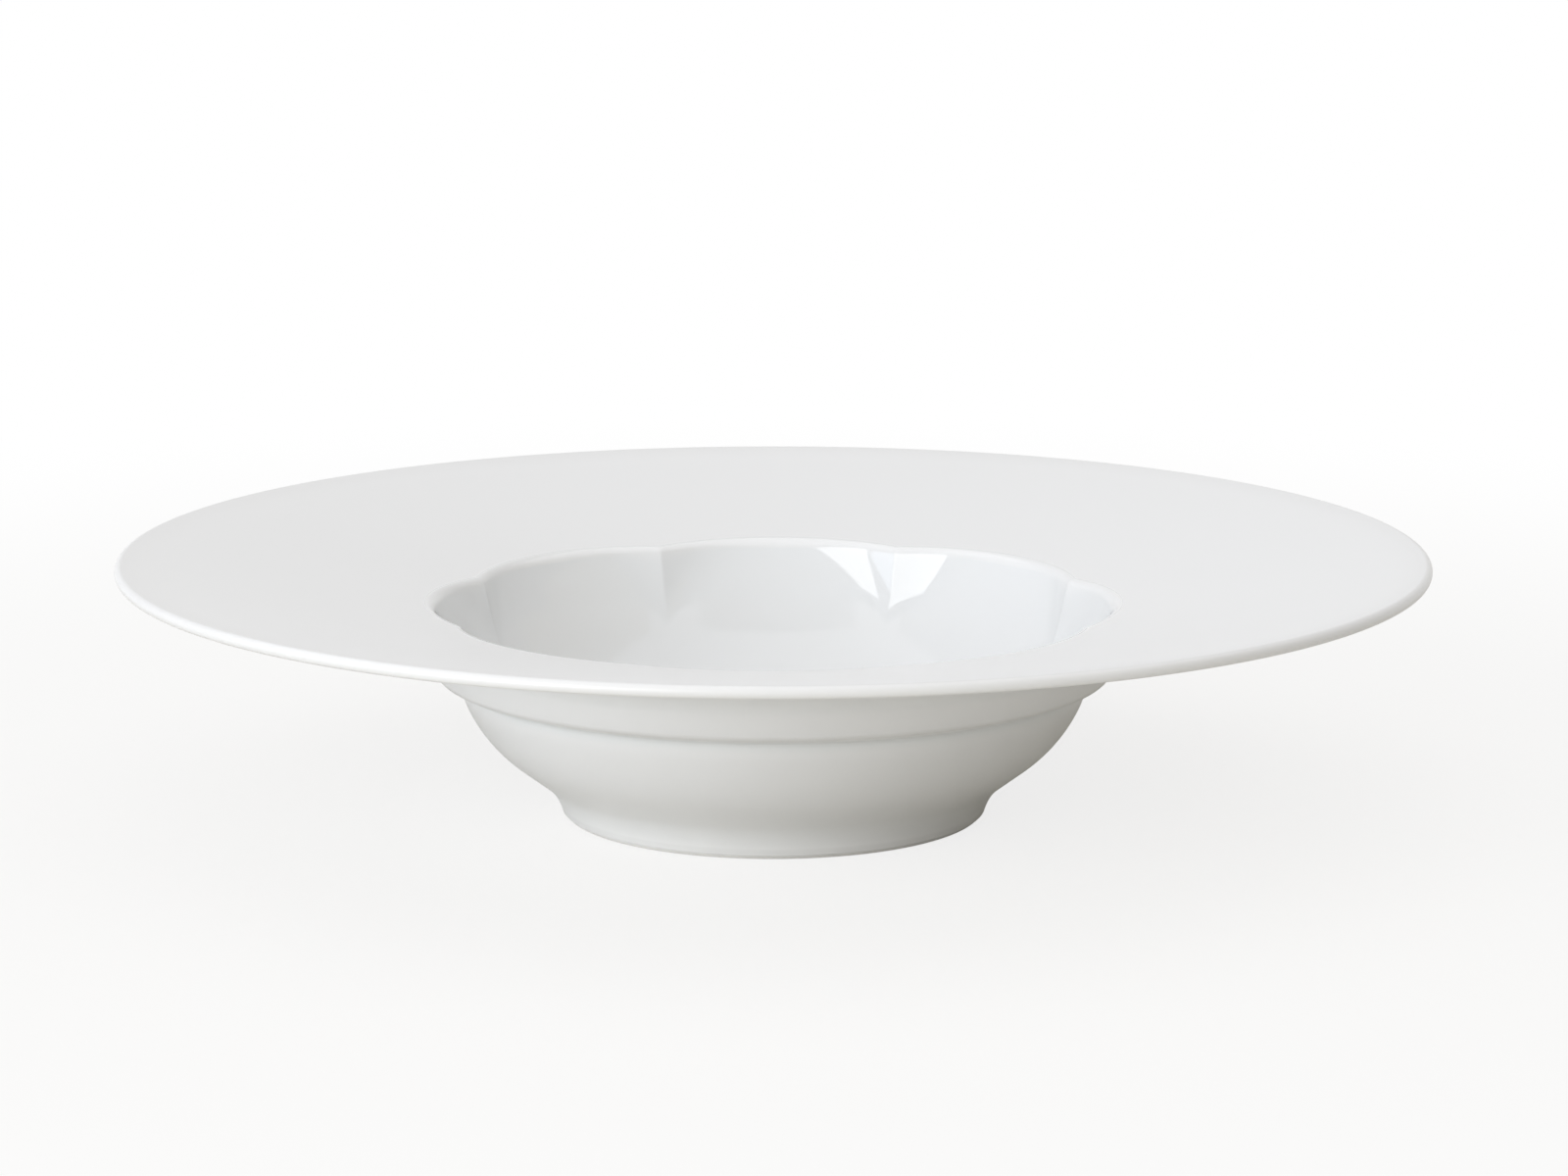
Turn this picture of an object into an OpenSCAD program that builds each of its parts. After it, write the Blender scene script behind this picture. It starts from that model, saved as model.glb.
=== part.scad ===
// Pasta bowl in glazed white porcelain: a wide sloping rim round a well of scalloped lobes, a collar with
// a ledge under the rim, a round belly and a foot ring.
// Millimetres, +Z up. The origin is the centre of the plane that the foot stands on.

/* [Rim] */
// Diameter over the lip
rim_d = 300; // [286:1:320]
// Height from the table to the top of the lip
bowl_h = 61; // [60:0.5:64]
// Thickness of the lip, which is fully round
lip_t = 2.8; // [2.2:0.1:3.4]
// Rise of the rim's upper face towards the lip, in degrees
rim_rise = 9.5; // [8.5:0.5:10]
// Thickness of the rim where it meets the collar
rim_root_t = 4.6; // [3.8:0.1:6]

/* [Well] */
// Width of the well's edge across two opposite lobes
well_d = 157; // [152:1:162]
// Number of lobes round the well, an even number
lobes = 8; // [6:2:10]
// Diameter of the circle that each lobe is an arc of
lobe_d = 97; // [90:1:106]
// Height of the lobes' straight wall below the edge
lobe_h = 11.3; // [9:0.1:12]
// Lean of the lobes' walls from the vertical, in degrees
lobe_lean = 13; // [11:0.5:14]
// Radius where a lobe's wall turns inwards to run out
lobe_round = 6; // [3:0.5:9]
// Radius that rounds the well's edge
edge_round = 2; // [1:0.1:2.6]
// Height of the round wall behind the ridges, below the edge
round_h = 14.6; // [13.5:0.1:15.5]
// Diameter of the floor, to the corner that its radius rounds
floor_d = 98; // [94:1:101]
// Radius from the floor into the belly
floor_round = 28; // [15:1:34]
// Radius of the belly
belly_round = 43; // [25:1:50]

/* [Outside] */
// Thickness of the belly's wall
wall_t = 3.8; // [3.4:0.1:4.4]
// Thickness of the base, between the well's floor and the hollow inside the foot
base_t = 5.4; // [4.6:0.1:6.4]
// Thickness of the collar behind the lobes
collar_t = 2.9; // [2.6:0.1:3.6]
// Height of the collar, from the ledge up to the level of the well's edge
collar_h = 15.7; // [15.2:0.1:17]
// Radius of the ledge's lower corner
ledge_round = 1.3; // [0.6:0.1:1.6]
// Radius from the collar into the underside of the rim
rim_root_round = 9; // [5:0.5:12]

/* [Foot] */
// Diameter of the foot at the table, to the corner that its edge radius rounds
foot_d = 97.6; // [94:0.2:101]
// Width of the foot ring at the table
foot_w = 6.4; // [5.4:0.2:8]
// Height of the hollow inside the foot ring
foot_h = 4.2; // [3.4:0.1:5]
// Radius of the foot's outer edge
foot_round = 2; // [1:0.1:2.2]
// Radius from the foot into the belly
neck_round = 14; // [6:0.5:18]

/* [Glaze] */
// Thickness of the glaze
glaze_t = 0.4; // [0.3:0.05:0.6]
// Height of the bare edge that the glaze leaves round both sides of the foot
bare_h = 1.4; // [1:0.1:1.8]

/* [Hidden] */
$fn = 96;

// Slopes from the horizontal, in degrees
foot_slope = 70;
foot_inner_slope = 60;
ledge_slope = 18;
collar_slope = 76;
// Lean of the round wall behind the ridges, from the vertical, in degrees
round_lean = 11;
// Angle at which the well's rounded edge breaks through the rim's upper face, in degrees
edge_break = 15;
// Largest angle that one chord of a rounded corner spans, in degrees
arc_step = 8;

// Distance that the round wall stays inside the ridges at the level of the well's edge
ridge_relief = 0.8;
// Radius where the belly turns up into the round wall
bend_round = 20;
// Radius in the angle under the ledge
ledge_inner_round = 1.2;
// Radii of the corner of the hollow inside the foot and of the foot's inner edge
hollow_round = 2.4;
foot_inner_round = 1.2;
// Length by which a cut reaches past what it cuts
overrun = 5;
// The belly's corner lies at these shares of the way from the floor's corner to the bend: out and up
belly_shares = [0.76, 0.526];
// A lobe runs out into the belly at this share of the way from the bend down to the belly's corner
runout_share = 0.2;
// A lobe's cutter turns this far past the ridges at its two sides, in degrees
lobe_overlap = 12;

rim_r = rim_d / 2;
well_r = well_d / 2;
lobe_r = lobe_d / 2;
foot_r = foot_d / 2;
foot_inner_r = foot_r - foot_w;

// The lip is a circle that the rim's upper face and underside are both tangent to
lip_r = lip_t / 2;
lip_at = [rim_r - lip_r, bowl_h - lip_r];

// Height of the rim's upper face at a given radius
function rim_z(r) = lip_at.y + lip_r / cos(rim_rise) + (r - lip_at.x) * tan(rim_rise);

edge_z = rim_z(well_r);
floor_z = foot_h + base_t;
ledge_z = edge_z - collar_h;

// Each lobe is an arc about an axis of its own, set off from the bowl's axis; neighbours meet at a ridge
lobe_turn = 360 / lobes;
lobe_offset = well_r - lobe_r;
ridge_across = lobe_offset * sin(lobe_turn / 2);
ridge_r = lobe_offset * cos(lobe_turn / 2) + sqrt(pow(lobe_r, 2) - pow(ridge_across, 2));
ridge_angle = asin(ridge_r * sin(lobe_turn / 2) / lobe_r);
// The axis tilts so that the lobe's arc lies on the rim's cone at its middle and at both ridges
lobe_tilt = atan((well_r - ridge_r) * tan(rim_rise) / (well_r - ridge_r * cos(lobe_turn / 2)));
lobe_sweep = 2 * (ridge_angle + lobe_overlap);

// Plane geometry. A corner is [r, z, radius that rounds it].
function corner(p, radius) = [p.x, p.y, radius];
function flat(p) = [p.x, p.y];
function heading(angle) = [cos(angle), sin(angle)];
function left_of(v) = [-v.y, v.x];
function across(a, b) = a.x * b.y - a.y * b.x;
function unit(v) = v / norm(v);
upright = heading(90);

// Where the line through p along a meets the line through q along b
function meet(p, a, q, b) = p + a * across(q - p, b) / across(a, b);

// Length and direction of an outline's edge from corner i, and the turn at corner i in degrees
function edge_length(c, i) = norm(flat(c[i + 1]) - flat(c[i]));
function way(c, i) = unit(flat(c[i + 1]) - flat(c[i]));
function turn(c, i) = let (a = way(c, i - 1), b = way(c, i)) atan2(across(a, b), a * b);

// Length that corner i's radius takes from its two edges, and the share of the radius that they leave room for
function reach(c, i) = i == 0 || i == len(c) - 1 ? 0 : c[i].z * tan(abs(turn(c, i)) / 2);
function edge_share(c, i) = let (need = reach(c, i) + reach(c, i + 1))
    need == 0 ? 1 : min(1, edge_length(c, i) / need);
function fit_share(c, i) = min(edge_share(c, i - 1), edge_share(c, i));

// Corner i as points along its arc: the ends of chords, or where edges tangent to the arc's middle parts meet
function arc(c, i, tangent) = let (
    bend = turn(c, i),
    room = fit_share(c, i),
    radius = c[i].z * room,
    inward = sign(bend) * left_of(way(c, i - 1)),
    centre = flat(c[i]) - way(c, i - 1) * reach(c, i) * room + inward * radius,
    first = atan2(-inward.y, -inward.x),
    steps = ceil(abs(bend) / arc_step),
    step = bend / steps
) tangent
    ? [for (k = [1:steps]) centre + radius / cos(step / 2) * heading(first + step * (k - 1 / 2))]
    : [for (k = [0:steps]) centre + radius * heading(first + step * k)];

// An outline with its corners rounded
function rounded(c, tangent = false) = [
    flat(c[0]),
    for (i = [1:len(c) - 2]) each (c[i].z > 0 ? arc(c, i, tangent) : [flat(c[i])]),
    flat(c[len(c) - 1])
];

// An outline with each edge moved to its left by its own distance; the two ends slide on upright lines
function moved(c, by) = let (
    last = len(c) - 1,
    at = [for (i = [0:last - 1]) flat(c[i]) + by[i] * left_of(way(c, i))]
) [
    corner(meet(at[0], way(c, 0), flat(c[0]), upright), 0),
    for (i = [1:last - 1]) corner(
        meet(at[i - 1], way(c, i - 1), at[i], way(c, i)),
        max(0, c[i].z - sign(turn(c, i)) * (by[i - 1] + by[i]) / 2)
    ),
    corner(meet(at[last - 1], way(c, last - 1), flat(c[last]), upright), 0)
];

// Round part of the well: floor, belly and the wall behind the ridges
round_top = [ridge_r - ridge_relief, edge_z];
round_way = heading(90 - round_lean);
floor_at = [floor_d / 2, floor_z];
bend_at = round_top - round_way * round_h / cos(round_lean);
floor_to_bend = bend_at - floor_at;
belly_at = floor_at + [floor_to_bend.x * belly_shares.x, floor_to_bend.y * belly_shares.y];
belly_low_way = unit(belly_at - floor_at);
belly_high_way = unit(bend_at - belly_at);
round_clear = round_top + round_way * overrun;
round_outline = [
    [0, floor_z, 0],
    corner(floor_at, floor_round),
    corner(belly_at, belly_round),
    corner(bend_at, bend_round),
    corner(round_clear, 0),
    [0, round_clear.y, 0]
];

// A place in the bowl's section through the middle of a lobe, as a place in the section about the lobe's own axis
function in_lobe(p) = let (d = p - [well_r, edge_z], tilted = heading(lobe_tilt))
    [lobe_r + d * tilted, across(tilted, d)];

// Section of a lobe's cutter about its own axis, from its run-out up through the well's rounded edge
lobe_way = heading(90 - lobe_lean - lobe_tilt);
edge_way = heading(rim_rise - lobe_tilt + edge_break);
edge_turn = 90 - lobe_lean - rim_rise - edge_break;
edge_reach = edge_round * tan(edge_turn / 2);
edge_drop = edge_reach * sin(edge_break) / sin(edge_turn + edge_break);
lobe_foot = [lobe_r, 0] - lobe_way * lobe_h / cos(lobe_lean + lobe_tilt);
runout_at = in_lobe(bend_at + (belly_at - bend_at) * runout_share);
runout_clear = runout_at + unit(runout_at - lobe_foot) * overrun;
lobe_edge = [lobe_r, 0] - lobe_way * edge_drop;
lobe_clear = lobe_edge + edge_way * (edge_reach + overrun);
lobe_outline = [
    corner(runout_clear, 0),
    corner(lobe_foot, lobe_round),
    corner(lobe_edge, edge_round),
    corner(lobe_clear, 0),
    corner([lobe_clear.x, overrun], 0),
    [runout_clear.x, overrun, 0]
];

// Outside of the bowl, from the hollow inside the foot round to the rim's upper face
neck_at = meet(
    [foot_r, 0], heading(foot_slope),
    floor_at - wall_t * left_of(belly_low_way), belly_low_way
);
belly_outer_at = meet(
    neck_at, belly_low_way,
    bend_at - wall_t * left_of(belly_high_way), belly_high_way
);
ledge_at = [well_r - collar_h * tan(lobe_lean) + collar_t, ledge_z];
ledge_inner_at = meet(ledge_at, heading(ledge_slope), belly_outer_at, belly_high_way);
root_r = well_r + collar_t + rim_root_round;
root_at = [root_r, rim_z(root_r) - rim_root_t];
root_to_lip = lip_at - root_at;
under_slope = atan2(root_to_lip.y, root_to_lip.x) - asin(lip_r / norm(root_to_lip));
outer_outline = [
    [0, foot_h, 0],
    corner([foot_inner_r - foot_h / tan(foot_inner_slope), foot_h], hollow_round),
    [foot_inner_r, 0, foot_inner_round],
    [foot_r, 0, foot_round],
    corner(neck_at, neck_round),
    corner(belly_outer_at, belly_round + wall_t),
    corner(ledge_inner_at, ledge_inner_round),
    corner(ledge_at, ledge_round),
    corner(meet(ledge_at, heading(collar_slope), root_at, heading(under_slope)), rim_root_round),
    corner(meet(root_at, heading(under_slope), [rim_r, 0], upright), lip_r),
    [rim_r, rim_z(rim_r), lip_r],
    [0, rim_z(0), 0]
];
// The edge of that outline that stands on the table and carries no glaze
standing_edge = 2;

// The shapes below lie at a given depth under the finished surface: 0, or the thickness of the glaze

module outer_section(depth) {
    by = [for (i = [0:len(outer_outline) - 2]) i == standing_edge ? 0 : depth];
    polygon(rounded(moved(outer_outline, by)));
}

module round_well(depth) {
    rotate_extrude() polygon(rounded(moved(round_outline, [-depth, -depth, -depth, -depth, 0])));
}

// Neighbouring lobes have their arcs divided differently, so that their rings cross the ridges apart
module lobe(depth, odd) {
    section = moved(lobe_outline, [-depth, -depth, -depth, 0, 0]);
    translate([well_r - lobe_r * cos(lobe_tilt), 0, edge_z - lobe_r * sin(lobe_tilt)])
        rotate([0, -lobe_tilt, 0])
            rotate(-lobe_sweep / 2)
                rotate_extrude(angle = lobe_sweep) polygon(rounded(section, odd == 1));
}

// Every second lobe, from the first or from the second
module half_lobes(depth, odd) {
    for (k = [odd:2:lobes - 1]) rotate(k * lobe_turn) lobe(depth, odd);
}

// The well as a solid, and its children with the well cut out of them
module well(depth) {
    union() {
        union() {
            round_well(depth);
            half_lobes(depth, 0);
        }
        half_lobes(depth, 1);
    }
}

module carved(depth) {
    difference() {
        difference() {
            difference() {
                children();
                round_well(depth);
            }
            half_lobes(depth, 0);
        }
        half_lobes(depth, 1);
    }
}

// Section of the glaze on everything but the well; it leaves the edge of the foot bare
module skin_section() {
    difference() {
        outer_section(0);
        outer_section(glaze_t);
        translate([0, -overrun]) square([foot_r + overrun, overrun + bare_h]);
    }
}

// Section of the space up to the middle of the foot ring and of the base: the glaze in it is the hollow's
module hollow_section() {
    square([foot_r - foot_w / 2, (foot_h + floor_z) / 2]);
}

// Section of all that lies under the rim's upper face
module under_rim_section() {
    polygon([[0, 0], [rim_r, 0], [rim_r, rim_z(rim_r)], [0, rim_z(0)]]);
}

module porcelain_body() {
    color([0.94, 0.93, 0.90]) carved(glaze_t) rotate_extrude() outer_section(glaze_t);
}

module well_glaze() {
    color([0.95, 0.97, 0.97]) carved(0) intersection() {
        well(glaze_t);
        rotate_extrude() under_rim_section();
    }
}

module outer_glaze() {
    color([0.97, 0.97, 0.96]) carved(glaze_t) rotate_extrude() difference() {
        skin_section();
        hollow_section();
    }
}

module base_glaze() {
    color([0.96, 0.96, 0.95]) rotate_extrude() intersection() {
        skin_section();
        hollow_section();
    }
}

porcelain_body();
well_glaze();
outer_glaze();
base_glaze();
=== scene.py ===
# Pasta bowl in white glazed porcelain: a wide sloping rim, a scalloped well, a ledge and a foot ring
import math

import bpy
import numpy as np
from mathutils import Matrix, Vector


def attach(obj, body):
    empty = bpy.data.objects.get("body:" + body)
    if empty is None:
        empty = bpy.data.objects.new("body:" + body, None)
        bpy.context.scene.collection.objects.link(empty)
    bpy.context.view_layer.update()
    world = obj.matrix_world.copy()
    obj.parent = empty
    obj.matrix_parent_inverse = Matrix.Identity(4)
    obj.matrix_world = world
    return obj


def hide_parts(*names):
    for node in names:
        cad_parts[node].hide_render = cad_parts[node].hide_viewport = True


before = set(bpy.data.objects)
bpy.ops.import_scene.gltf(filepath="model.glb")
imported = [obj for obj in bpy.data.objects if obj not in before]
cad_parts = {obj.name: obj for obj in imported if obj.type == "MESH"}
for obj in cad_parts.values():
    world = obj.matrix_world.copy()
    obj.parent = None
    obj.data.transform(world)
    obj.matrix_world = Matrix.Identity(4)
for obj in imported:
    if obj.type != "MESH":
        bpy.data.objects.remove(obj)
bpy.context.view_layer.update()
mm = 0.001
tiny = 1e-6  # millimetres that count as no length at all
upright = np.array([0.0, 1.0])  # in a section, whose points are (radius, height)
print("frame loaded:", ", ".join(sorted(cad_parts)))

# Sizes that the pieces share, in millimetres and degrees; the reach of the rim comes from the frame
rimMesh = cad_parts["outer_glaze"].data
rimPoints = np.empty(len(rimMesh.vertices) * 3)
rimMesh.vertices.foreach_get("co", rimPoints)
rimPoints = rimPoints.reshape(-1, 3) / mm
bowl = {
    "rimR": np.hypot(rimPoints[:, 0], rimPoints[:, 1]).max(),
    "height": rimPoints[:, 2].max(),
    "lipR": 1.4,
    "rimRise": 9.5,
    "glaze": 0.4,
    "lobes": 8,
    "columnsPerLobe": 60,
    "crowding": 0.8,  # how far the columns crowd towards the ridges, 0 to 1
}
rise = math.radians(bowl["rimRise"])
lipAt = np.array([bowl["rimR"] - bowl["lipR"], bowl["height"] - bowl["lipR"]])
lobeTurn = 2 * math.pi / bowl["lobes"]


# Height of the rim's upper face at a radius: a cone that is tangent to the lip's circle
def rimZ(r):
    return lipAt[1] + bowl["lipR"] / math.cos(rise) + (r - lipAt[0]) * math.tan(rise)


# Angles round the bowl: each lobe's share, with the columns crowded towards the ridges by a cubic
def columnAngles(perLobe):
    s = np.linspace(-1, 1, perLobe, endpoint=False)
    local = (1 - bowl["crowding"]) * s + bowl["crowding"] * s * (1.5 - 0.5 * s ** 2)
    return ((np.arange(bowl["lobes"])[:, None] + local / 2) * lobeTurn).ravel()


# A direction in a section, from its angle above level in degrees
def heading(angle):
    return np.array([math.cos(math.radians(angle)), math.sin(math.radians(angle))])


# The flat cross product: how far b turns to the left of a, times both lengths
def cross(a, b):
    return a[..., 0] * b[..., 1] - a[..., 1] * b[..., 0]


# Where the line through p along a meets the line through q along b
def meet(p, a, q, b):
    return p + a * cross(q - p, b) / cross(a, b)


# A section's corners, each (radius, height, rounding), as points: corners become arcs in steps that keep
# within a sag of the true circle, and each edge is divided into lengths no longer than its own limit
def roundOff(corners, sag, longest):
    at = np.array([c[:2] for c in corners], float)
    rounding = np.array([c[2] for c in corners], float)
    edge = np.diff(at, axis=0)
    length = np.linalg.norm(edge, axis=1)
    way = edge / length[:, None]
    turn = np.zeros(len(at))
    turn[1:-1] = np.arctan2(cross(way[:-1], way[1:]), (way[:-1] * way[1:]).sum(1))
    reach = rounding * np.tan(np.abs(turn) / 2)
    room = np.minimum(1, length / np.maximum(reach[:-1] + reach[1:], tiny))
    fit = np.minimum(np.append(1, room), np.append(room, 1))
    stretches = []
    last = at[0]
    for i in range(1, len(at)):
        bend = at[i][None]
        if i < len(at) - 1 and rounding[i] > 0:
            inward = math.copysign(1, turn[i]) * np.array([-way[i - 1, 1], way[i - 1, 0]])
            size = rounding[i] * fit[i]
            centre = at[i] - way[i - 1] * reach[i] * fit[i] + size * inward
            steps = max(2, math.ceil(abs(turn[i]) * math.sqrt(size / (8 * sag))))
            angles = math.atan2(-inward[1], -inward[0]) + turn[i] * np.linspace(0, 1, steps + 1)
            bend = centre + size * np.stack([np.cos(angles), np.sin(angles)], 1)
        parts = max(1, math.ceil(np.linalg.norm(bend[0] - last) / longest[i - 1]))
        stretches += [last + (bend[0] - last) * np.linspace(0, 1, parts + 1)[:-1, None], bend[:-1]]
        last = bend[-1]
    points = np.vstack(stretches + [last[None]])
    return points[np.append(True, np.linalg.norm(np.diff(points, axis=0), axis=1) > tiny)]


# The same corners with each edge moved to its left by its own distance and the ends slid upright
def moveEdges(corners, by):
    at = np.array([c[:2] for c in corners], float)
    way = np.diff(at, axis=0)
    way /= np.linalg.norm(way, axis=1)[:, None]
    on = at[:-1] + np.array(by)[:, None] * np.stack([-way[:, 1], way[:, 0]], 1)
    moved = [(*meet(on[0], way[0], at[0], upright), 0)]
    for i in range(1, len(at) - 1):
        side = math.copysign(1, cross(way[i - 1], way[i]))
        rounding = max(0, corners[i][2] - side * (by[i - 1] + by[i]) / 2)
        moved.append((*meet(on[i - 1], way[i - 1], on[i], way[i]), rounding))
    return moved + [(*meet(on[-1], way[-1], at[-1], upright), 0)]


# The larger of two fields, with a parabola of the given width where they are close
def softMax(a, b, width):
    return np.maximum(a, b) + np.maximum(width - np.abs(a - b), 0) ** 2 / (4 * width)


# The smaller of two fields, in the same way
def softMin(a, b, width):
    return -softMax(-a, -b, width)


# The well: a round bowl, drawn in by a ring of lobes whose neighbours meet at upright ridges
well = {
    "edgeR": 78.5,
    "lobeR": 48.5,
    "lobeLean": 13,
    "edgeRelief": 0.06,  # how far the round wall stays inside the lobes' middles at the edge
    "wallLean": 24.5,  # lean of the round wall's upper part
    "wallH": 12,
    "wallRound": 40,
    "floorZ": 9.6,
    "floorR": 49,
    "floorRound": 28,
    "bellyRound": 43,
    "bellyShares": (0.518, 0.2905),  # out and up, from the floor's corner to the wall's edge
    "ridgeSoft": 0.25,
    "creaseSoft": 1.4,
    "edgeRound": 2.2,
    "edgeFlat": 0.3,
    "plainTo": 24,  # height up to which the rows are level
    "leastFlank": 0.4,
    "trueSag": 1e-4,  # the wall that the rows are read from keeps this share of their sag
    "halvings": 30,  # steps that close in on the crease
}
edgeZ = rimZ(well["edgeR"])
lobeOffset = well["edgeR"] - well["lobeR"]
lean = math.radians(well["lobeLean"])
floorAt = np.array([well["floorR"], well["floorZ"]])
wallEdge = np.array([well["edgeR"] - well["edgeRelief"], rimZ(well["edgeR"] - well["edgeRelief"])])
wallWay = heading(90 - well["wallLean"])
wallFoot = wallEdge - wallWay / wallWay[1] * well["wallH"]
bellyAt = floorAt + (wallEdge - floorAt) * np.array(well["bellyShares"])
bellyWay = (bellyAt - floorAt) / np.linalg.norm(bellyAt - floorAt)
wellCorners = [
    (0, well["floorZ"], 0),
    (*floorAt, well["floorRound"]),
    (*bellyAt, well["bellyRound"]),
    (*wallFoot, well["wallRound"]),
    (*(wallEdge + wallWay * well["edgeRound"]), 0),
]


# A direction turned a quarter to the right
def rightOf(way):
    return np.array([way[1], -way[0]])


# Radius of the ring of lobes at an angle, where every lobe has shrunk by an inset: the lobes' offset times
# the cosine of the angle from a lobe's middle, plus the root of the lobe's radius squared less the square
# of the offset times the sine. The larger of two neighbours counts.
def lobeRing(angles, lobeR, inset):
    local = np.abs((angles + lobeTurn / 2) % lobeTurn - lobeTurn / 2)
    near, far = (
        lobeOffset * np.cos(a)
        + np.sqrt(np.maximum((lobeR - inset) ** 2 - (lobeOffset * np.sin(a)) ** 2, 0))
        for a in (local, lobeTurn - local)
    )
    return softMax(near, far, well["ridgeSoft"])


# Rows of the well at a depth under its finished face, from the middle of the floor to just past its edge.
# The radius is the smaller of the round wall and the lobes' sides, softened across the crease where they
# are equal, and one row lies along that crease. Then come an arc over the edge to a line beside the
# lobes' own edge, and a strip of the rim. Counts are rows below the crease, above it and in the arc.
def wellRows(depth, angles, sag, longest, counts):
    wallRows, flankRows, arcRows = counts
    corners = moveEdges(wellCorners, [-depth] * (len(wellCorners) - 1))
    plain = roundOff(corners, sag, longest)
    plain = plain[plain[:, 1] < well["plainTo"] - longest[-1] / 2]
    wall = roundOff(corners, sag * well["trueSag"], [bowl["rimR"]] * (len(corners) - 1))
    wallAt = lambda z: np.interp(z, wall[:, 1], wall[:, 0])
    drop = depth / math.cos(rise)
    lobeR = well["lobeR"] + depth * (1 / math.cos(lean) - math.tan(lean))
    lobeEdge = lobeRing(angles, lobeR, 0)
    sideAt = lambda z: lobeRing(angles, lobeR, (rimZ(lobeEdge) - drop - z) * math.tan(lean))
    wallTop = meet(wallEdge + depth * rightOf(wallWay), wallWay,
                   np.array([0, rimZ(0) - drop]), heading(bowl["rimRise"]))
    edgeR = softMin(wallTop[0], lobeEdge, well["creaseSoft"])
    edgeH = rimZ(edgeR) - drop
    endR = lobeEdge + well["edgeRound"] * math.tan((math.pi / 2 - lean - rise) / 2) * math.cos(rise)
    endH = rimZ(endR) - drop
    top = edgeH - (endR - edgeR) * math.cos(lean) / math.cos(rise)
    low, crease = 0 * top + well["plainTo"], top - well["leastFlank"]
    for _ in range(well["halvings"]):
        middle = (low + crease) / 2
        inside = wallAt(middle) > sideAt(middle)
        low, crease = np.where(inside, low, middle), np.where(inside, middle, crease)
    up = np.sin(np.linspace(0, math.pi / 2, wallRows + 1))[:, None]
    on = 1 - np.cos(np.linspace(0, math.pi / 2, flankRows + 1))[1:, None]
    height = np.vstack([well["plainTo"] + (crease - well["plainTo"]) * up, crease + (top - crease) * on])
    radius = softMin(wallAt(height), sideAt(height), well["creaseSoft"])
    radius = np.vstack([plain[:, :1] + 0 * angles, radius])
    height = np.vstack([plain[:, 1:] + 0 * angles, height])
    # The arc is a conic from the last row to the rim, with the edge as its corner; the corner's weight is
    # the cosine of half the turn, as for a circle
    reach = np.hypot(edgeR - radius[-1], edgeH - height[-1])
    bend = ((edgeR - radius[-1]) * math.cos(rise) + (edgeH - height[-1]) * math.sin(rise)) / reach
    t = np.sin(np.linspace(0, math.pi / 2, arcRows + 1))[1:, None]  # closer rows towards the rim
    weight = np.sqrt((1 + bend) / 2)
    shares = np.stack([(1 - t) ** 2 + 0 * bend, 2 * t * (1 - t) * weight, t ** 2 + 0 * bend])
    shares /= shares.sum(0)
    arcR = shares[0] * radius[-1] + shares[1] * edgeR + shares[2] * endR
    arcH = shares[0] * height[-1] + shares[1] * edgeH + shares[2] * endH
    stripR = endR + well["edgeFlat"] * math.cos(rise)
    stripH = endH + well["edgeFlat"] * math.sin(rise)
    return np.vstack([radius, arcR, stripR]), np.vstack([height, arcH, stripH])


# The outside: foot ring, belly, ledge, collar, underside of the rim and lip
outside = {
    "wall": 3.8,
    "bellySlope": 65.9,
    "bellyRound": 54,
    "shoulderSlope": 82,
    "shoulderH": 5.5,  # from the ledge down to where the belly turns upright
    "shoulderRound": 18,
    "collar": 2.9,
    "collarH": 15.7,
    "collarSlope": 76,
    "ledgeSlope": 18,
    "ledgeRound": 1.9,
    "ledgeInnerRound": 2.0,
    "rimRootT": 4.6,
    "rimRootRound": 9,
    "neckRound": 14,
    "footR": 48.5,
    "footW": 6.4,
    "footH": 4.2,
    "footSlope": 70,
    "footRound": 1,
    "footInnerSlope": 60,
    "footInnerRound": 1.2,
    "hollowRound": 2.4,
    "bareH": 0.7,
    "glazeEnd": 0.5,  # height over which the glaze's lower edge rounds off
    "rimRows": 16,
}
neckAt = meet(np.array([outside["footR"], 0]), heading(outside["footSlope"]),
              floorAt + outside["wall"] * rightOf(bellyWay), bellyWay)
bellyOuterWay = heading(outside["bellySlope"])
bellyOuterAt = meet(neckAt, bellyWay, bellyAt + outside["wall"] * rightOf(bellyOuterWay), bellyOuterWay)
ledgeAt = np.array([well["edgeR"] - outside["collarH"] * math.tan(lean) + outside["collar"],
                    edgeZ - outside["collarH"]])
shoulderZ = ledgeAt[1] - outside["shoulderH"]
shoulderAt = meet(bellyOuterAt, bellyOuterWay, np.array([0, shoulderZ]), heading(0))
ledgeInnerAt = meet(ledgeAt, heading(outside["ledgeSlope"]),
                    shoulderAt, heading(outside["shoulderSlope"]))
rootR = well["edgeR"] + outside["collar"] + outside["rimRootRound"]
rootAt = np.array([rootR, rimZ(rootR) - outside["rimRootT"]])
rootToLip = lipAt - rootAt
underWay = heading(math.degrees(math.atan2(rootToLip[1], rootToLip[0])
                                - math.asin(bowl["lipR"] / np.linalg.norm(rootToLip))))
footInnerR = outside["footR"] - outside["footW"]
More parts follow.
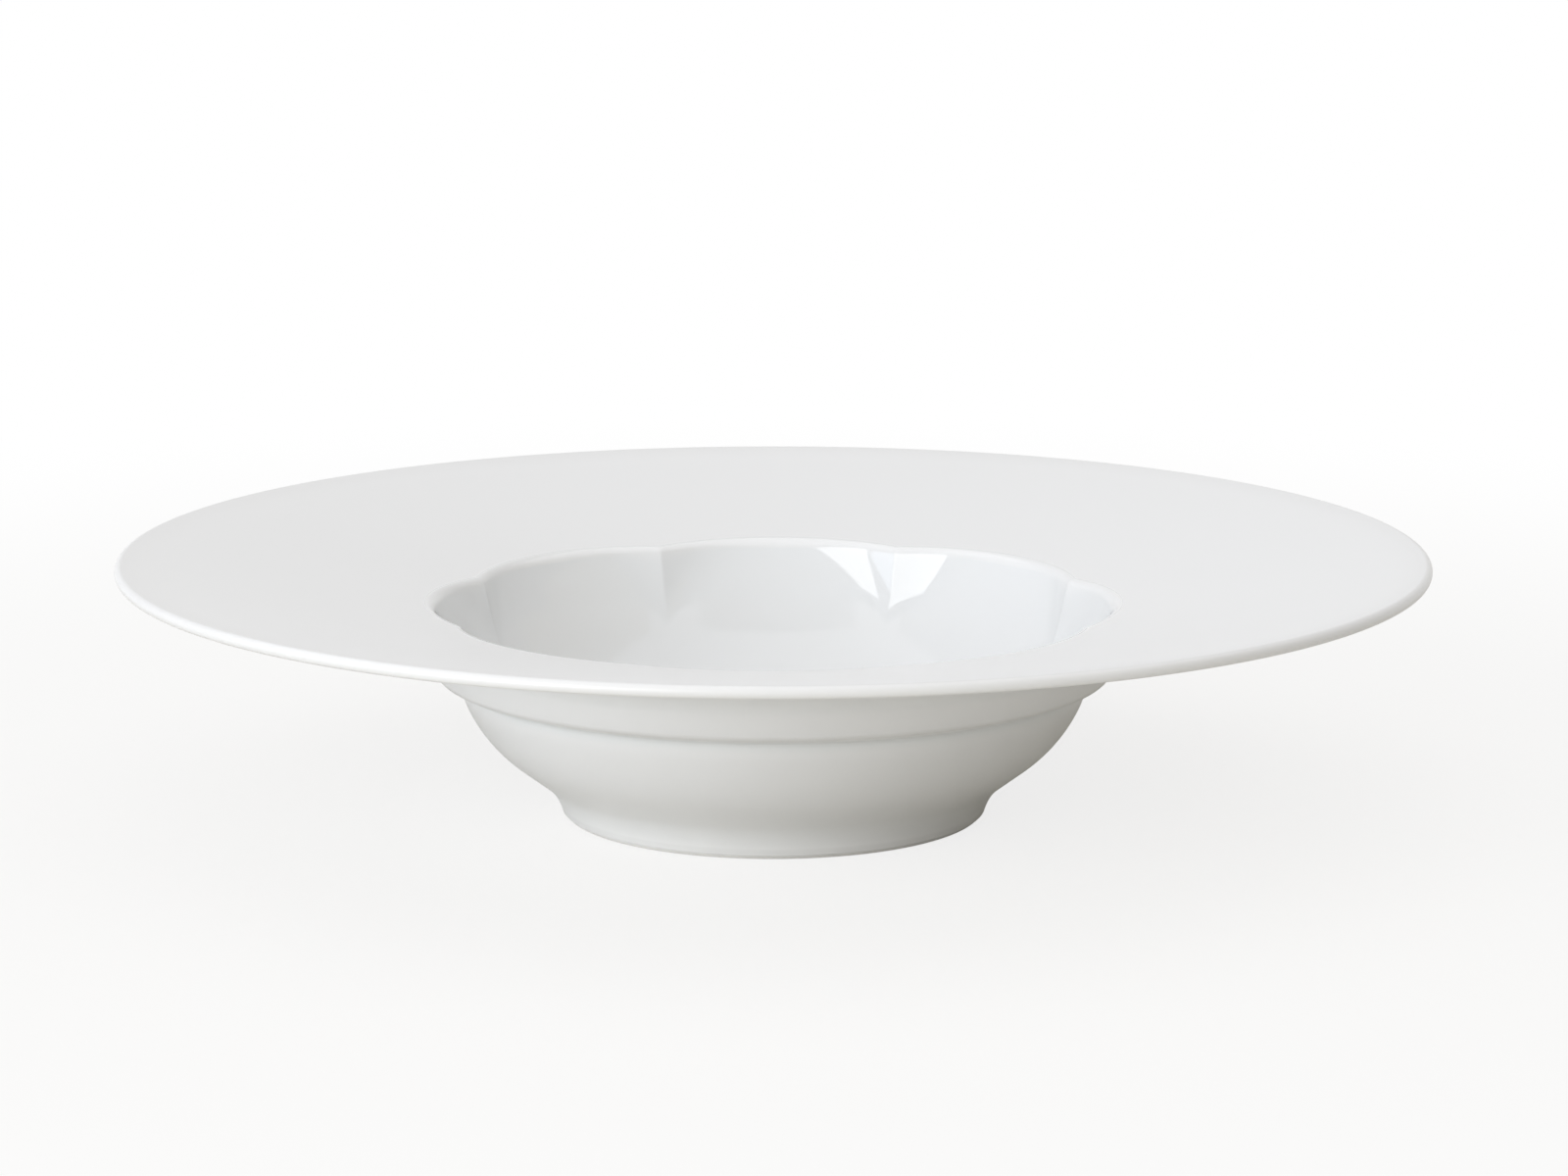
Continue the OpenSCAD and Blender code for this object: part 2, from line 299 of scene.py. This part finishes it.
outsideCorners = [
    (0, outside["footH"], 0),
    (footInnerR - outside["footH"] / math.tan(math.radians(outside["footInnerSlope"])), outside["footH"],
     outside["hollowRound"]),
    (footInnerR, 0, outside["footInnerRound"]),
    (outside["footR"], 0, outside["footRound"]),
    (*neckAt, outside["neckRound"]),
    (*bellyOuterAt, outside["bellyRound"]),
    (*shoulderAt, outside["shoulderRound"]),
    (*ledgeInnerAt, outside["ledgeInnerRound"]),
    (*ledgeAt, outside["ledgeRound"]),
    (*meet(ledgeAt, heading(outside["collarSlope"]), rootAt, underWay), outside["rimRootRound"]),
    (*meet(rootAt, underWay, np.array([bowl["rimR"], 0]), upright), bowl["lipR"]),
    (bowl["rimR"], rimZ(bowl["rimR"]), bowl["lipR"]),
    (0, rimZ(0), 0),
]
standingEdge = 2  # the edge that stands on the table and carries no glaze


# Points of the outside at a depth under its finished face, from the middle of the hollow inside the foot
# to where the lip meets the rim's upper face
def outsidePath(depth, sag, longest):
    by = [0 if i == standingEdge else depth for i in range(len(outsideCorners) - 1)]
    limits = [longest] * (len(by) - 1) + [2 * bowl["rimR"]]  # the rim's upper face has rows of its own
    return roundOff(moveEdges(outsideCorners, by), sag, limits)[:-1]


# The part of a path that lies above a height: outside the foot, or in its hollow where inside is set
def aboveFoot(path, height, inside=False):
    low = np.flatnonzero(path[:, 1] < height)
    a, b = (low[0] - 1, low[0]) if inside else (low[-1], low[-1] + 1)
    share = (height - path[a, 1]) / (path[b, 1] - path[a, 1])
    end = (path[a] + (path[b] - path[a]) * share)[None]
    return np.vstack([path[:b], end]) if inside else np.vstack([end, path[b:]])


# A quarter of an ellipse from the end of a finished face to the end of the face under it
def glazeEdge(finished, under, steps):
    a = np.linspace(0, math.pi / 2, steps + 1)[1:-1]
    r = under[0] + (finished[0] - under[0]) * np.cos(a)
    z = finished[1] + (under[1] - finished[1]) * np.sin(a)
    return np.stack([r, z], 1)


# Rows of the rim's upper face, from one row's radii out to the lip: a cone at a depth under the face
def rimRows(startR, depth, count):
    lipR = lipAt[0] - (bowl["lipR"] - depth) * math.sin(rise)
    share = np.linspace(0, 1, count, endpoint=False)[:, None]
    radius = startR + (lipR - startR) * share
    return radius, rimZ(radius) - depth / math.cos(rise)


# A path of points as rows, the same at every angle
def roundRows(path, angles):
    return path[:, :1] + 0 * angles, path[:, 1:] + 0 * angles


# Bend of the section per millimetre, positive in hollows, spread to the rows beside it and squeezed to
# between -1 and 1; it sets where the glaze takes the pooled colour with painted shade, and the edge tone
def gathering(radius, height, gain, passes):
    dr, dz = np.diff(radius, axis=0), np.diff(height, axis=0)
    way = np.unwrap(np.arctan2(dz, dr), axis=0)
    length = np.hypot(dr, dz)
    bend = np.zeros_like(radius)
    bend[1:-1] = 2 * np.diff(way, axis=0) / (length[:-1] + length[1:])
    for _ in range(passes):
        bend[1:-1] = (bend[:-2] + 2 * bend[1:-1] + bend[2:]) / 4
    return np.tanh(gain * bend)


# A closed mesh from rows of radii and heights: rows run along the section, columns round the axis.
# A ring's last row joins its first; otherwise the first and last rows are points on the axis.
def closedSkin(name, radius, height, angles, ring, sharpRows=(), shadeAndPoolAt=None):
    rows, cols = radius.shape
    grid = np.stack([radius * np.cos(angles), radius * np.sin(angles), height], -1) * mm
    index = np.arange(rows * cols).reshape(rows, cols)
    rowOf = np.repeat(np.arange(rows), cols)
    points = grid.reshape(-1, 3)
    fans = np.empty((0, 3), int)
    a, b = index, np.roll(index, -1, 0)
    if not ring:
        keep = np.r_[0, np.arange(cols, (rows - 1) * cols), rows * cols - 1]
        points, rowOf = points[keep], rowOf[keep]
        index = 1 + np.arange((rows - 2) * cols).reshape(rows - 2, cols)
        a, b = index[:-1], index[1:]
        first, last = index[0], index[-1]
        fans = np.vstack([
            np.stack([0 * first, np.roll(first, -1), first], 1),
            np.stack([last, np.roll(last, -1), 0 * last + len(points) - 1], 1),
        ])
    quads = np.stack([a, np.roll(a, -1, 1), np.roll(b, -1, 1), b], -1).reshape(-1, 4)
    triangles = np.vstack([quads[:, :3], quads[:, [0, 2, 3]], fans])
    p, q, r = (points[triangles[:, k]] for k in range(3))
    if (p * np.cross(q, r)).sum() < 0:  # turned inside out
        quads, fans = quads[:, ::-1], fans[:, ::-1]
    mesh = bpy.data.meshes.new(name)
    mesh.from_pydata(points.tolist(), [], quads.tolist() + fans.tolist())
    mesh.shade_smooth()
    ends = np.empty(len(mesh.edges) * 2, int)
    mesh.edges.foreach_get("vertices", ends)
    endRows = rowOf[ends.reshape(-1, 2)]
    sharp = (endRows[:, 0] == endRows[:, 1]) & np.isin(endRows[:, 0], [r % rows for r in sharpRows])
    mesh.edges.foreach_set("use_edge_sharp", sharp)
    if shadeAndPoolAt is not None:
        shadeAndPoolAt = np.vstack([shadeAndPoolAt, np.zeros((rows - len(shadeAndPoolAt), cols))])
        values = shadeAndPoolAt.ravel() if ring else shadeAndPoolAt.ravel()[keep]
        mesh.attributes.new("gathering", "FLOAT", "POINT").data.foreach_set("value", values)
    mesh.validate()
    piece = bpy.data.objects.new(name, mesh)
    bpy.context.scene.collection.objects.link(piece)
    print(f"{name}: {len(mesh.vertices)} points, {2 * len(quads) + len(fans)} triangles")
    return piece


# Makes a node, sets its fields and inputs, and links what is linked; an input goes by its name, with _
# for a space, or by its place, as in0
def addNode(tree, kind, fields=None, **inputs):
    made = tree.nodes.new(kind)
    for key, value in (fields or {}).items():
        setattr(made, key, value)
    for key, value in inputs.items():
        numbered = key.startswith("in") and key[2:].isdigit()
        socket = made.inputs[int(key[2:]) if numbered else key.replace("_", " ")]
        if isinstance(value, bpy.types.NodeSocket):
            tree.links.new(value, socket)
        else:
            socket.default_value = value
    return made


# Fields that several nodes share
eased = {"interpolation_type": "SMOOTHSTEP"}
coloured = {"data_type": "RGBA"}


# An empty material and its node tree
def newTree(name):
    material = bpy.data.materials.new(name)
    material.use_nodes = True
    material.node_tree.nodes.clear()
    return material, material.node_tree


# Glaze over porcelain: one colour on plain faces, a darker, bluer one in hollows for pooled glaze with
# painted shade, and a tone over edges, with a little waviness and cloudiness; the gloss is the shader's
# own
def glazeFinish(name, look):
    material, tree = newTree(name)
    place = addNode(tree, "ShaderNodeTexCoord").outputs["Object"]
    shadeAndPoolAt = addNode(tree, "ShaderNodeAttribute", {"attribute_name": "gathering"}).outputs["Fac"]
    clouds = addNode(tree, "ShaderNodeTexNoise", Vector=place, Scale=look["cloudScale"],
                     Detail=look["cloudDetail"])
    # Cloudiness plus the bend: above zero the colour turns to pooled glaze with painted shade, below zero
    # to the edge tone
    depth = addNode(tree, "ShaderNodeMath", {"operation": "MULTIPLY_ADD"}, in0=clouds.outputs["Fac"],
                    in1=look["cloudiness"], in2=shadeAndPoolAt)
    hollowShare = addNode(tree, "ShaderNodeMapRange", eased, Value=depth.outputs[0])
    # Tone over edges: on the outside a darker colour, painted shade that tones down the highlight on the
    # lip and other rounded edges
    edgeShare = addNode(tree, "ShaderNodeMapRange", eased, Value=depth.outputs[0],
                     From_Min=0.0, From_Max=-1.0)
    hollowTone = addNode(tree, "ShaderNodeMix", coloured, in0=hollowShare.outputs[0],
                   in6=(*look["plain"], 1), in7=(*look["pooledAndShaded"], 1))
    colour = addNode(tree, "ShaderNodeMix", coloured, in0=edgeShare.outputs[0],
                     in6=hollowTone.outputs[2], in7=(*look["thin"], 1))
    gloss = addNode(tree, "ShaderNodeMapRange", Value=clouds.outputs["Fac"],
                    To_Min=look["roughness"][0], To_Max=look["roughness"][1])
    waves = addNode(tree, "ShaderNodeTexNoise", Vector=place, Scale=look["waveScale"],
                    Detail=look["waveDetail"])
    bump = addNode(tree, "ShaderNodeBump", Height=waves.outputs["Fac"],
                   Strength=look["waveStrength"], Distance=look["waveHeight"] * mm)
    shader = addNode(tree, "ShaderNodeBsdfPrincipled", Base_Color=colour.outputs[2],
                     Roughness=gloss.outputs[0], IOR=look["ior"], Normal=bump.outputs[0])
    addNode(tree, "ShaderNodeOutputMaterial", Surface=shader.outputs[0])
    return material


# Bare porcelain: a fine matt grain, with grey rubbed into it where it has stood
def bareFinish(name, look):
    material, tree = newTree(name)
    place = addNode(tree, "ShaderNodeTexCoord").outputs["Object"]
    rubs = addNode(tree, "ShaderNodeTexNoise", Vector=place, Scale=look["rubScale"],
                   Detail=look["rubDetail"], Roughness=look["rubBreakUp"])
    rubbed = addNode(tree, "ShaderNodeMapRange", eased, Value=rubs.outputs["Fac"],
                     From_Min=look["rubFrom"], From_Max=look["rubTo"])
    colour = addNode(tree, "ShaderNodeMix", coloured, in0=rubbed.outputs[0],
                     in6=(*look["clay"], 1), in7=(*look["rubbed"], 1))
    grain = addNode(tree, "ShaderNodeTexNoise", Vector=place, Scale=look["grainScale"],
                    Detail=look["grainDetail"])
    bump = addNode(tree, "ShaderNodeBump", Height=grain.outputs["Fac"],
                   Strength=look["grainStrength"], Distance=look["grainHeight"] * mm)
    shader = addNode(tree, "ShaderNodeBsdfPrincipled", Base_Color=colour.outputs[2],
                     Roughness=look["roughness"], IOR=look["ior"], Normal=bump.outputs[0])
    addNode(tree, "ShaderNodeOutputMaterial", Surface=shader.outputs[0])
    return material


# Gives a piece its finish, hangs it on the root body and hides the frame's solid that it stands in for
def dress(piece, material, node):
    piece.data.materials.append(material)
    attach(piece, "root")
    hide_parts(node)


angles = columnAngles(bowl["columnsPerLobe"])
glaze = bowl["glaze"]
intoGlaze = glaze * np.array([math.sin(rise), -math.cos(rise)])  # through the glaze, square to the rim

# Gloss glaze in the well: a skin from the floor to the rounded edge
wellFinish = {
    "sag": 0.003,
    "longest": (6, 1.2, 1.2, 1.2),
    "rows": (36, 18, 32),
    "backSag": 0.05,
    "backLongest": (14, 4, 4, 4),
    "backRows": (8, 5, 3),
    "shadeAndPoolGain": 6.0,
    "shadeAndPoolPasses": 6,
    "look": {
        "plain": (0.816, 0.822, 0.818),
        "thin": (0.838, 0.838, 0.830),
        # bluer and a little darker in hollows: pooled glaze with painted shade
        "pooledAndShaded": (0.790, 0.810, 0.815),
        "cloudScale": 30.0,
        "cloudDetail": 3.0,
        "cloudiness": 0.15,
        "roughness": (0.035, 0.065),
        "waveScale": 110.0,
        "waveDetail": 1.5,
        "waveStrength": 0.25,
        "waveHeight": 0.03,
        "ior": 1.5,
    },
}
faceR, faceH = wellRows(0, angles, wellFinish["sag"], wellFinish["longest"], wellFinish["rows"])
backR, backH = wellRows(glaze, angles, wellFinish["backSag"], wellFinish["backLongest"],
                        wellFinish["backRows"])
seamR, seamH = faceR[-1] + intoGlaze[0], faceH[-1] + intoGlaze[1]
wellShadeAndPool = gathering(faceR, faceH, wellFinish["shadeAndPoolGain"], wellFinish["shadeAndPoolPasses"])
wellSkin = closedSkin(
    "wellSkin",
    np.vstack([faceR, seamR, backR[-2::-1]]),
    np.vstack([faceH, seamH, backH[-2::-1]]),
    angles, False, (len(faceR) - 1, len(faceR)), wellShadeAndPool)
dress(wellSkin, glazeFinish("glossGlaze", wellFinish["look"]), "well_glaze")

# Softer glaze on the rim, the lip and the outside: a ring of skin down to the bare edge of the foot
outerFinish = {
    "sag": 0.003,
    "longest": 3.0,
    "backSag": 0.05,
    "backLongest": 12.0,
    "backRimRows": 4,
    "endSteps": 6,
    "shadeAndPoolGain": 2.5,
    "shadeAndPoolPasses": 6,
    "look": {
        "plain": (0.850, 0.850, 0.842),
        # darker over the lip and other rounded edges: painted shade that tones down their highlight
        "thin": (0.785, 0.783, 0.772),
        # darker and bluer in hollows such as the ledge's corner and the neck: pooled glaze with painted
        # shade
        "pooledAndShaded": (0.805, 0.820, 0.815),
        "cloudScale": 22.0,
        "cloudDetail": 3.0,
        "cloudiness": 0.2,
        "roughness": (0.26, 0.33),
        "waveScale": 90.0,
        "waveDetail": 1.5,
        "waveStrength": 0.25,
        "waveHeight": 0.03,
        "ior": 1.5,
    },
}
lipFace = outsidePath(0, outerFinish["sag"], outerFinish["longest"])
lipBack = outsidePath(glaze, outerFinish["backSag"], outerFinish["backLongest"])
footFace = aboveFoot(lipFace, outside["bareH"] + outside["glazeEnd"])
footBack = aboveFoot(lipBack, outside["bareH"])
footEdge = glazeEdge(footFace[0], footBack[0], outerFinish["endSteps"])
rimR, rimH = rimRows(faceR[-1], 0, outside["rimRows"])
downR, downH = roundRows(np.vstack([footFace[::-1], footEdge]), angles)
upR, upH = roundRows(footBack, angles)
innerR, innerH = rimRows(seamR, glaze, outerFinish["backRimRows"])
outerShadeAndPool = gathering(np.vstack([rimR, downR]), np.vstack([rimH, downH]),
                          outerFinish["shadeAndPoolGain"], outerFinish["shadeAndPoolPasses"])
outerSkin = closedSkin(
    "outerSkin",
    np.vstack([rimR, downR, upR, innerR[::-1]]),
    np.vstack([rimH, downH, upH, innerH[::-1]]),
    angles, True, (0, -1), outerShadeAndPool)
outerGlaze = glazeFinish("softGlaze", outerFinish["look"])
dress(outerSkin, outerGlaze, "outer_glaze")

# The same glaze in the hollow inside the foot
baseFinish = {
    "columnsPerLobe": 24,
    "sag": 0.003,
    "longest": 4.0,
    "backSag": 0.02,
    "backLongest": 8.0,
    "endSteps": 6,
}
baseAngles = columnAngles(baseFinish["columnsPerLobe"])
hollowFace = aboveFoot(outsidePath(0, baseFinish["sag"], baseFinish["longest"]),
                       outside["bareH"] + outside["glazeEnd"], True)
hollowBack = aboveFoot(outsidePath(glaze, baseFinish["backSag"], baseFinish["backLongest"]),
                       outside["bareH"], True)
hollowEdge = glazeEdge(hollowFace[-1], hollowBack[-1], baseFinish["endSteps"])
hollowR, hollowH = roundRows(np.vstack([hollowFace, hollowEdge, hollowBack[::-1]]), baseAngles)
hollowShadeAndPool = -gathering(hollowR, hollowH, outerFinish["shadeAndPoolGain"], outerFinish["shadeAndPoolPasses"])
baseSkin = closedSkin("baseSkin", hollowR, hollowH, baseAngles, False, (), hollowShadeAndPool)
dress(baseSkin, outerGlaze, "base_glaze")

# The porcelain under the glaze, bare only round the foot
bodyFinish = {
    "columnsPerLobe": 30,
    "sag": 0.02,
    "wellLongest": (8, 3, 3, 3),
    "wellRows": (14, 8, 6),
    "longest": 8.0,
    "rimRows": 6,
    "look": {
        "clay": (0.840, 0.828, 0.800),
        "rubbed": (0.700, 0.690, 0.670),
        "rubScale": 160.0,
        "rubDetail": 6.0,
        "rubBreakUp": 0.65,
        "rubFrom": 0.55,
        "rubTo": 0.80,
        "grainScale": 2600.0,
        "grainDetail": 4.0,
        "grainStrength": 0.5,
        "grainHeight": 0.05,
        "roughness": 0.78,
        "ior": 1.5,
    },
}
bodyAngles = columnAngles(bodyFinish["columnsPerLobe"])
bodyWellR, bodyWellH = wellRows(glaze, bodyAngles, bodyFinish["sag"], bodyFinish["wellLongest"],
                                bodyFinish["wellRows"])
bodyRimR, bodyRimH = rimRows(bodyWellR[-1], glaze, bodyFinish["rimRows"])
bodyOut = outsidePath(glaze, bodyFinish["sag"], bodyFinish["longest"])
bodyOutR, bodyOutH = roundRows(bodyOut[::-1], bodyAngles)
porcelain = closedSkin(
    "porcelain",
    np.vstack([bodyWellR[:-1], bodyRimR, bodyOutR]),
    np.vstack([bodyWellH[:-1], bodyRimH, bodyOutH]),
    bodyAngles, False)
dress(porcelain, bareFinish("barePorcelain", bodyFinish["look"]), "porcelain_body")

# Pale floor: its own shade near the bowl, where the shadow lies, and plain white further off
ground = {
    "half": 30.0,  # lengths here are in metres
    "drop": 0.0001,
    "colour": (0.84, 0.82, 0.77, 1),
    "near": 0.16,
    "far": 0.60,
    "glowSeen": 0.80,  # share of plain white near the bowl, to the camera
    "glowMirrored": 0.0,  # the same in reflections
}
half = ground["half"]
floorMesh = bpy.data.meshes.new("floor")
floorCorners = [(x * half, y * half, -ground["drop"]) for x, y in ((-1, -1), (1, -1), (1, 1), (-1, 1))]
floorMesh.from_pydata(floorCorners, [], [(0, 1, 2, 3)])
floor = bpy.data.objects.new("floor", floorMesh)
bpy.context.scene.collection.objects.link(floor)


# Which rays look at the background: those from the camera, and those mirrored or let through towards it
def lookingRays(tree):
    path = addNode(tree, "ShaderNodeLightPath").outputs
    mirrored = addNode(tree, "ShaderNodeMath", {"operation": "ADD", "use_clamp": True},
                       in0=path["Is Glossy Ray"], in1=path["Is Transmission Ray"]).outputs[0]
    looking = addNode(tree, "ShaderNodeMath", {"operation": "ADD", "use_clamp": True},
                      in0=path["Is Camera Ray"], in1=mirrored).outputs[0]
    return looking, mirrored


floorMaterial, tree = newTree("paleFloor")
looking, mirrored = lookingRays(tree)
floorPlace = addNode(tree, "ShaderNodeTexCoord").outputs["Object"]
fromBowl = addNode(tree, "ShaderNodeVectorMath", {"operation": "LENGTH"}, in0=floorPlace)
glowNear = addNode(tree, "ShaderNodeMapRange", Value=mirrored,
                   To_Min=ground["glowSeen"], To_Max=ground["glowMirrored"])
glow = addNode(tree, "ShaderNodeMapRange", eased, Value=fromBowl.outputs["Value"],
               From_Min=ground["near"], From_Max=ground["far"], To_Min=glowNear.outputs[0], To_Max=1.0)
glowShown = addNode(tree, "ShaderNodeMath", {"operation": "MULTIPLY"}, in0=glow.outputs[0], in1=looking)
ownShade = addNode(tree, "ShaderNodeBsdfDiffuse", Color=ground["colour"])
plainWhite = addNode(tree, "ShaderNodeEmission", Strength=1.0)
floorMix = addNode(tree, "ShaderNodeMixShader", in0=glowShown.outputs[0],
                   in1=ownShade.outputs[0], in2=plainWhite.outputs[0])
addNode(tree, "ShaderNodeOutputMaterial", Surface=floorMix.outputs[0])
floorMesh.materials.append(floorMaterial)
print("floor: plain white from", ground["far"], "m out")

# The world: white where it is seen, a soft room light on the bowl
room = {"colour": (1.0, 1.0, 0.98, 1), "glow": 0.20}
world = bpy.data.worlds.new("room")
world.use_nodes = True
bpy.context.scene.world = world
tree = world.node_tree
tree.nodes.clear()
roomLight = addNode(tree, "ShaderNodeBackground", Color=room["colour"], Strength=room["glow"])
roomSeen = addNode(tree, "ShaderNodeBackground", Color=(1, 1, 1, 1), Strength=1.0)
worldMix = addNode(tree, "ShaderNodeMixShader", in0=lookingRays(tree)[0],
                   in1=roomLight.outputs[0], in2=roomSeen.outputs[0])
addNode(tree, "ShaderNodeOutputWorld", Surface=worldMix.outputs[0])

# Lamps: a bright window in front on the left, a low panel further left for the outside of the bowl, and
# a dim room round them that the glaze mirrors. Each is a rectangle, in metres; glow is the brightness of
# its own face, where 1 is white
lamps = {
    "window": {"at": (-0.904, -1.359, 0.490), "faces": (0.977, 1.320, -0.400), "wide": 1.20, "tall": 0.92,
               "glow": 4.05, "colour": (0.99, 1.0, 1.01)},
    "frontWall": {"at": (0, -2.7, 1.45), "faces": (0, 1, 0), "wide": 6.0, "tall": 2.9,
                  "glow": 0.15, "colour": (0.99, 1.0, 1.03)},
    "leftPanel": {"at": (-3.0, -1.5, 0.45), "faces": (1, 0, 0), "wide": 2.5, "tall": 0.9,
                  "glow": 2.3, "colour": (0.86, 0.98, 1.16)},
    "leftWall": {"at": (-3.05, -0.2, 1.45), "faces": (1, 0, 0), "wide": 5.0, "tall": 2.9,
                 "glow": 0.24, "colour": (0.95, 0.96, 1.09)},
    "rightWallLow": {"at": (3.0, -0.2, 0.7), "faces": (-1, 0, 0), "wide": 5.0, "tall": 1.4,
                     "glow": 0.02, "colour": (1.0, 0.92, 0.80)},
    "rightWallHigh": {"at": (3.0, -0.2, 2.2), "faces": (-1, 0, 0), "wide": 5.0, "tall": 1.6,
                      "glow": 0.24, "colour": (1.22, 1.06, 0.65)},
    "ceiling": {"at": (0, 0, 3.0), "faces": (0, 0, -1), "wide": 6.0, "tall": 5.0,
                "glow": 0.90, "colour": (0.99, 0.99, 1.02)},
}
for name, lamp in lamps.items():
    light = bpy.data.lights.new(name, "AREA")
    light.shape = "RECTANGLE"
    light.size, light.size_y = lamp["wide"], lamp["tall"]
    light.energy = lamp["glow"] * lamp["wide"] * lamp["tall"] * math.pi
    light.color = lamp["colour"]
    holder = bpy.data.objects.new(name, light)
    bpy.context.scene.collection.objects.link(holder)
    holder.location = lamp["at"]
    holder.rotation_euler = Vector(lamp["faces"]).to_track_quat("-Z", "Y").to_euler()
print("lamps:", ", ".join(lamps))

# Camera at the photograph's viewing angle, a little right of the lobes' own axis; millimetres and degrees
shot = {
    "aimZ": 59.8,
    "away": 1100.0,
    "elevation": 10.51,
    "turn": 0.85,
    "aimRight": 2.37,
    "aimDown": 7.52,
    "lens": 110.0,
    "sensor": 36.0,
    "sees": (0.01, 200),  # nearest and furthest, in metres
}
camera = bpy.data.objects.new("camera", bpy.data.cameras.new("camera"))
bpy.context.scene.collection.objects.link(camera)
camera.data.sensor_width, camera.data.lens = shot["sensor"], shot["lens"]
camera.data.clip_start, camera.data.clip_end = shot["sees"]
turned, raised = math.radians(shot["turn"]), math.radians(shot["elevation"])
level = math.cos(raised)
back = Vector((math.sin(turned) * level, -math.cos(turned) * level, math.sin(raised)))
toRight = Vector((math.cos(turned), math.sin(turned), 0))
lipCentre = Vector((0, 0, shot["aimZ"]))
aim = lipCentre + toRight * shot["aimRight"] - back.cross(toRight) * shot["aimDown"]
camera.location = (lipCentre + back * shot["away"]) * mm
camera.rotation_mode = "QUATERNION"
camera.rotation_quaternion = (aim * mm - camera.location).to_track_quat("-Z", "Y")
bpy.context.scene.camera = camera
print("camera:", shot["lens"], "mm lens,", shot["elevation"], "degrees up")
bpy.context.scene.view_settings.view_transform = "Standard"

print("bowl dressed")
